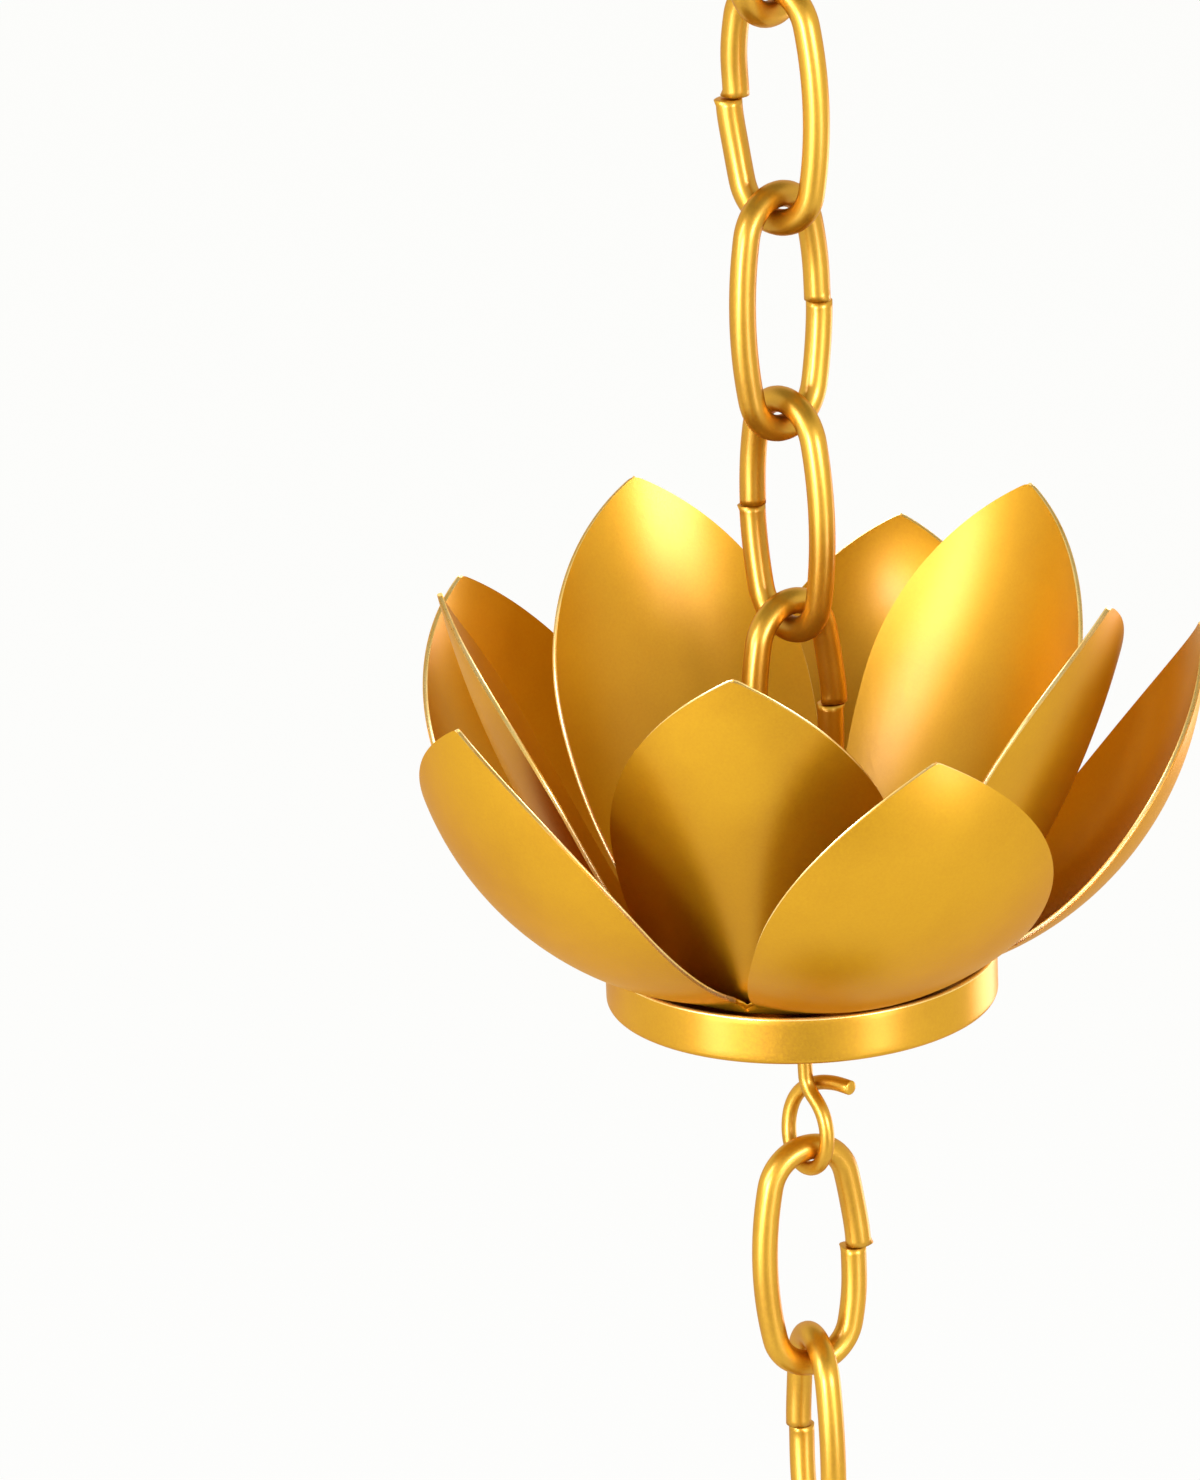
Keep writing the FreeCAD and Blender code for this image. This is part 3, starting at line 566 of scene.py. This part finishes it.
# Hanger wires
# A 2.3 mm wire runs up through each cup and is brazed in the hole. It is bent to a tear-drop eye
# at both ends, and its cut end crosses behind the stem and stands out level.
HANGER_WIRE = 2.3 * MM
HANGER_LENGTH = 57.2 * MM
EYE_HEIGHT = 14.0 * MM
EYE_WIDTH = 9.8 * MM
TAIL = 6.6 * MM
PLAY = 0.25 * MM
RIM_BELOW_EYE = 22.0 * MM
HANGER_TURN = {1: 80.0, 2: -48.0, 3: 68.0}

wire_gold = gold_paint("hanger_gold", GOLD_WIRE, GOLD_WIRE_DEEP, metal=0.90, gloss=0.34, coat=0.22,
                       cloud_scale=120.0, grain_scale=3000.0, relief=0.02)


def eye_corners():
    """Corners of the lower eye from stem to tail, with its foot near zero height."""
    behind = HANGER_WIRE + PLAY
    # rounding draws the corners in, which the swell makes up for
    swell = 1.04
    rise = swell * 0.46 * EYE_HEIGHT
    degrees = np.arange(42, -232, -34)
    angle = np.radians(degrees)
    loop = np.stack([
        swell * EYE_WIDTH / 2 * np.cos(angle) - 0.25 * MM,
        behind * np.clip(-120 - degrees, 0, None) / 145,
        rise * (1 + np.sin(angle))], 1)
    stem = [[0, 0, 1.22 * EYE_HEIGHT], [0.025 * EYE_HEIGHT, 0, 0.99 * EYE_HEIGHT]]
    cross = [
        [-0.2 * MM, behind, 0.985 * EYE_HEIGHT],
        [0.5 * TAIL, 1.25 * behind, 1.03 * EYE_HEIGHT],
        [TAIL, 1.3 * behind, 1.03 * EYE_HEIGHT]]
    return np.vstack([stem, loop, cross])


def rounded(corners, times):
    """Smooth line through a polygon's runs: each round cuts every corner at a quarter of its runs."""
    for _ in range(times):
        near = 0.75 * corners[:-1] + 0.25 * corners[1:]
        far = 0.25 * corners[:-1] + 0.75 * corners[1:]
        inner = np.stack([near, far], 1).reshape(-1, 3)[1:-1]
        corners = np.vstack([corners[:1], inner, corners[-1:]])
    return corners


corners = eye_corners()
foot = rounded(corners, 4)[:, 2].min()
lower = corners + [0, 0, -HANGER_LENGTH - HANGER_WIRE / 2 - foot]
upper = corners * [-1, 1, -1] + [0, 0, HANGER_WIRE / 2 + foot]
hanger_line = rounded(np.vstack([upper[::-1], lower]), 4)
upright, faces = wire_surface(hanger_line, HANGER_WIRE / 2, SIDEWAYS, sides=20, end_round=0.3 * MM)
for cup in (1, 2, 3):
    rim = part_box(f"cup_{cup}_base")[1].z
    points = turned(upright, math.radians(HANGER_TURN[cup]), rim + RIM_BELOW_EYE)
    hanger = add_piece(f"cup_{cup}_hanger_wire", points, faces, f"cup_{cup}", f"cup_{cup}_hanger",
                       [wire_gold], weld=0.002 * MM)


# Pendant
# A clear yellow glass drop hangs from the last link. Its thin bright wire has a closed eye at the
# top, and its straight end is glued into a bore in the drop's flat top.
PIN_WIRE = 1.3 * MM
PIN_EYE = 3.2 * MM
PIN_TURN = math.radians(63)
DROP_RADIUS = 21.4 * MM
DROP_TOP = 4.2 * MM
DROP_BORE = 0.75 * MM
BORE_DEPTH = 6.1 * MM

bright_wire = bpy.data.materials.new("bright_wire")
bright_wire.use_nodes = True
nodes, links = bright_wire.node_tree.nodes, bright_wire.node_tree.links
bright = nodes["Principled BSDF"]
bright.inputs["Metallic"].default_value = 1.0
drawn = nodes.new("ShaderNodeGroup")
drawn.node_tree = SPRAYED_GRAIN
drawn.inputs["Cloud Scale"].default_value = 500.0
drawn.inputs["Grain Scale"].default_value = 3000.0
worn = between(nodes, links, drawn.outputs["Cloud"], (0.40, 0.33, 0.19, 1.0), (0.70, 0.62, 0.44, 1.0))
links.new(worn, bright.inputs["Base Color"])
links.new(ranged(nodes, links, drawn.outputs["Speck"], 0, 1, 0.18, 0.42), bright.inputs["Roughness"])

low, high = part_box("pendant_wire")
top = high.z - PIN_WIRE
bend = 1.6 * PIN_WIRE
eye_z = PIN_WIRE / 2 - PIN_EYE
bend_z = eye_z - math.sqrt(PIN_EYE**2 + 2 * PIN_EYE * bend)
touch = math.atan2(eye_z - bend_z, bend)
stem = np.linspace([0, low.z - top], [0, bend_z], 12)[:-1]
neck = arc((-bend, bend_z), bend, 0, math.degrees(touch), 10)[:-1]
loop = arc((0, eye_z), PIN_EYE, math.degrees(touch) - 180, math.degrees(touch) - 490, 44)
flat_line = np.vstack([stem, neck, loop])
pin_line = np.stack([flat_line[:, 0], 0 * flat_line[:, 0], flat_line[:, 1]], 1)
points, faces = wire_surface(pin_line, PIN_WIRE / 2, SIDEWAYS, sides=16, end_round=0.1 * MM)
points = turned(points, PIN_TURN, top)
pin = add_piece("pendant_pin", points, faces, "pendant", "pendant_wire", [bright_wire], weld=0.002 * MM)

yellow_glass = bpy.data.materials.new("yellow_glass")
yellow_glass.use_nodes = True
nodes, links = yellow_glass.node_tree.nodes, yellow_glass.node_tree.links
glass = nodes["Principled BSDF"]
glass.inputs["Roughness"].default_value = 0.03
glass.inputs["IOR"].default_value = 1.5
glass.inputs["Transmission Weight"].default_value = 0.92
drop_low, drop_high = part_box("pendant_drop")
drop_height = drop_high.z - drop_low.z
place = nodes.new("ShaderNodeTexCoord")
split = nodes.new("ShaderNodeSeparateXYZ")
links.new(place.outputs["Object"], split.inputs["Vector"])
height = ranged(nodes, links, split.outputs["Z"], drop_low.z, drop_high.z)
tint = between(nodes, links, height, (1.0, 0.76, 0.003, 1.0), (1.0, 0.86, 0.10, 1.0))
# thick glass seen through its flanks is amber, over the middle of the drop's height only
flank = nodes.new("ShaderNodeLayerWeight")
flank.inputs["Blend"].default_value = 0.5
amber = ranged(nodes, links, flank.outputs["Facing"], 0.38, 0.55, smooth=True)
for fade_from, fade_to in ((0.24, 0.30), (0.95, 0.72)):
    fade = ranged(nodes, links, split.outputs["Z"], drop_low.z + fade_from * drop_height,
                  drop_low.z + fade_to * drop_height, smooth=True)
    both = nodes.new("ShaderNodeMath")
    both.operation = "MULTIPLY"
    links.new(fade, both.inputs[0])
    links.new(amber, both.inputs[1])
    amber = both.outputs[0]
sided = nodes.new("ShaderNodeMix")
sided.data_type = "RGBA"
sided.inputs["B"].default_value = (0.56, 0.20, 0.004, 1.0)
links.new(amber, sided.inputs["Factor"])
links.new(tint, sided.inputs["A"])
links.new(sided.outputs["Result"], glass.inputs["Base Color"])


def drop_profile(height):
    """Section of the drop from its foot, up a round bottom and a long flank, into the bore."""
    centre = DROP_RADIUS - height
    flank = ((DROP_RADIUS - DROP_TOP)**2 + centre**2) / (2 * (DROP_RADIUS - DROP_TOP))
    lean = math.degrees(math.asin(-centre / flank))
    bottom = arc((0, centre), DROP_RADIUS, -90, 0, 26)[:-1]
    side = arc((DROP_RADIUS - flank, centre), flank, 0, lean, 46)
    nose = 0.25 * MM
    flat_top = np.array([[DROP_TOP - nose, 0.0], [DROP_BORE, 0.0]])
    bore = np.array([[DROP_BORE, -BORE_DEPTH], [0.0, -BORE_DEPTH]])
    bottom[0, 0] = 0.0
    return np.vstack([bottom, side, flat_top, bore])


points, faces = revolved(drop_profile(drop_height), sides=96)
drop = add_piece("pendant_glass", points + [0, 0, drop_high.z], faces, "pendant", "pendant_drop",
                 [yellow_glass], weld=0.001 * MM)
drop.data.set_sharp_from_angle(angle=math.radians(50))


# Floor and light
# The chain hangs over a plain pale floor in front of a plain white ground, in soft light from both
# sides, from the front and from low down. The lamps are bluish, since the gold keeps little blue.
LAMP_COLOUR = (0.95, 0.98, 1.9)
LAMP_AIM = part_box("cup_2_base")[1].z + 50 * MM


def seen_plainly(nodes, links, path):
    """Mask of the rays from the camera and of those that a surface reflects or lets through."""
    mask = path.outputs["Is Camera Ray"]
    for kind in ("Is Glossy Ray", "Is Transmission Ray"):
        either = nodes.new("ShaderNodeMath")
        either.operation = "ADD"
        either.use_clamp = True
        links.new(mask, either.inputs[0])
        links.new(path.outputs[kind], either.inputs[1])
        mask = either.outputs[0]
    return mask


def soft_box(name, azimuth, elevation, away, width, height, roll, power):
    """Rectangular lamp facing the middle cup, its azimuth counted to the right from the front."""
    lamp = bpy.data.lights.new(name, "AREA")
    lamp.shape = "RECTANGLE"
    lamp.size, lamp.size_y = width, height
    lamp.energy = power
    lamp.color = LAMP_COLOUR
    holder = bpy.data.objects.new(name, lamp)
    bpy.context.scene.collection.objects.link(holder)
    around, up, tilt = map(math.radians, (azimuth, elevation, roll))
    place = (away * math.cos(up) * math.sin(around), -away * math.cos(up) * math.cos(around),
             LAMP_AIM + away * math.sin(up))
    holder.matrix_world = (Matrix.Translation(place) @ Matrix.Rotation(around, 4, "Z")
                           @ Matrix.Rotation(math.pi / 2 - up, 4, "X") @ Matrix.Rotation(tilt, 4, "Z"))
    holder.visible_camera = False


floor_z = cad_box[0].z - 12 * MM
bpy.ops.mesh.primitive_plane_add(size=60.0, location=(0, 0, floor_z))
ground = bpy.context.object
ground.name = "floor"
pale = bpy.data.materials.new("pale_floor")
pale.use_nodes = True
nodes, links = pale.node_tree.nodes, pale.node_tree.links
matt = nodes["Principled BSDF"]
matt.inputs["Base Color"].default_value = (0.85, 0.85, 0.84, 1.0)
matt.inputs["Roughness"].default_value = 0.9
glow = nodes.new("ShaderNodeEmission")
glow.inputs["Color"].default_value = (1.0, 1.0, 0.98, 1.0)
seen = nodes.new("ShaderNodeLightPath")
# painted shade: a darker patch of floor 1.9 m in front, seen only in reflections; elsewhere reflections see
# the floor a tenth dimmer, and the camera sees it evenly white
place = nodes.new("ShaderNodeTexCoord")
shift = nodes.new("ShaderNodeMapping")
shift.inputs["Location"].default_value = (0.0, 1.9, 0.0)
squash = nodes.new("ShaderNodeVectorMath")
squash.operation = "MULTIPLY"
squash.inputs[1].default_value = (1.1, 0.75, 1.0)
away = nodes.new("ShaderNodeVectorMath")
away.operation = "LENGTH"
links.new(place.outputs["Object"], shift.inputs["Vector"])
links.new(shift.outputs["Vector"], squash.inputs[0])
links.new(squash.outputs["Vector"], away.inputs[0])
plain = nodes.new("ShaderNodeMath")
plain.operation = "MAXIMUM"
links.new(ranged(nodes, links, away.outputs["Value"], 0.2, 1.0, 0.26, 0.9, smooth=True), plain.inputs[0])
links.new(seen.outputs["Is Camera Ray"], plain.inputs[1])
links.new(plain.outputs[0], glow.inputs["Strength"])
share = nodes.new("ShaderNodeMath")
share.operation = "MULTIPLY"
share.inputs[1].default_value = 0.95
links.new(seen_plainly(nodes, links, seen), share.inputs[0])
mixed = nodes.new("ShaderNodeMixShader")
links.new(share.outputs[0], mixed.inputs["Fac"])
links.new(matt.outputs[0], mixed.inputs[1])
links.new(glow.outputs[0], mixed.inputs[2])
links.new(mixed.outputs[0], nodes["Material Output"].inputs["Surface"])
ground.data.materials.append(pale)

world = bpy.data.worlds.new("plain_light")
bpy.context.scene.world = world
world.use_nodes = True
nodes, links = world.node_tree.nodes, world.node_tree.links
soft = nodes["Background"]
soft.inputs["Color"].default_value = (1.0, 1.0, 1.0, 1.0)
soft.inputs["Strength"].default_value = 0.6
white = nodes.new("ShaderNodeBackground")
white.inputs["Strength"].default_value = 1.0
# the white ground fades into a dim ceiling between about 25 and 55 degrees up
upward = nodes.new("ShaderNodeTexCoord")
height = nodes.new("ShaderNodeSeparateXYZ")
links.new(upward.outputs["Generated"], height.inputs["Vector"])
ceiling = ranged(nodes, links, height.outputs["Z"], 0.42, 0.82, smooth=True)
dimmed = between(nodes, links, ceiling, (0.985, 0.985, 0.968, 1.0), (0.30, 0.285, 0.25, 1.0))
links.new(dimmed, white.inputs["Color"])
mixed = nodes.new("ShaderNodeMixShader")
links.new(seen_plainly(nodes, links, nodes.new("ShaderNodeLightPath")), mixed.inputs["Fac"])
links.new(soft.outputs[0], mixed.inputs[1])
links.new(white.outputs[0], mixed.inputs[2])
links.new(mixed.outputs[0], nodes["World Output"].inputs["Surface"])

# name, azimuth and elevation in degrees, distance, width and height in metres, roll, power in watts
for lamp in (("left_soft_box", -57, 19, 2.6, 0.6, 1.5, -25, 28),
             ("right_soft_box", 39, 7, 2.5, 0.95, 0.55, 0, 26),
             ("front_soft_box", -33, 0, 2.6, 0.7, 0.9, 0, 41),
             ("back_low_box", 137, -20, 1.7, 0.9, 0.45, 0, 4.5),
             ("low_left_box", -51, -19, 1.9, 0.5, 0.3, 0, 2.8),
             ("low_right_box", 44, -17, 1.9, 0.5, 0.25, 0, 2.4)):
    soft_box(*lamp)


# Camera
# It stands a little above the middle cup, which fills most of the frame, and leans as the
# picture does. The chain leaves the frame at the top and at the bottom.
CAMERA_BACK = 1.1513
CAMERA_ABOVE = 0.4381
LOOK_DOWN = 19.307
LOOK_ASIDE = -1.463
LEAN = -2.3
FOCAL_PIXELS = 8056.0
FRAME_HEIGHT = 1480

camera = bpy.data.cameras.new("camera")
camera.sensor_width = 36.0
camera.lens = FOCAL_PIXELS / FRAME_HEIGHT * camera.sensor_width
camera.clip_start = 0.05
camera.clip_end = 100.0
eye = bpy.data.objects.new("camera", camera)
bpy.context.scene.collection.objects.link(eye)
down, aside, lean = map(math.radians, (LOOK_DOWN, LOOK_ASIDE, LEAN))
ahead = np.array([math.sin(aside) * math.cos(down), math.cos(aside) * math.cos(down), -math.sin(down)])
right = np.array([math.cos(aside), -math.sin(aside), 0.0])
above = np.cross(right, ahead)
right, above = (math.cos(lean) * right + math.sin(lean) * above,
                -math.sin(lean) * right + math.cos(lean) * above)
pose = Matrix.Identity(4)
for row in range(3):
    pose[row][0], pose[row][1], pose[row][2] = right[row], above[row], -ahead[row]
pose[0][3], pose[1][3], pose[2][3] = 0.0, -CAMERA_BACK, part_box("cup_2_base")[1].z + CAMERA_ABOVE
eye.matrix_world = pose
bpy.context.scene.camera = eye
bpy.context.scene.view_settings.view_transform = "Standard"
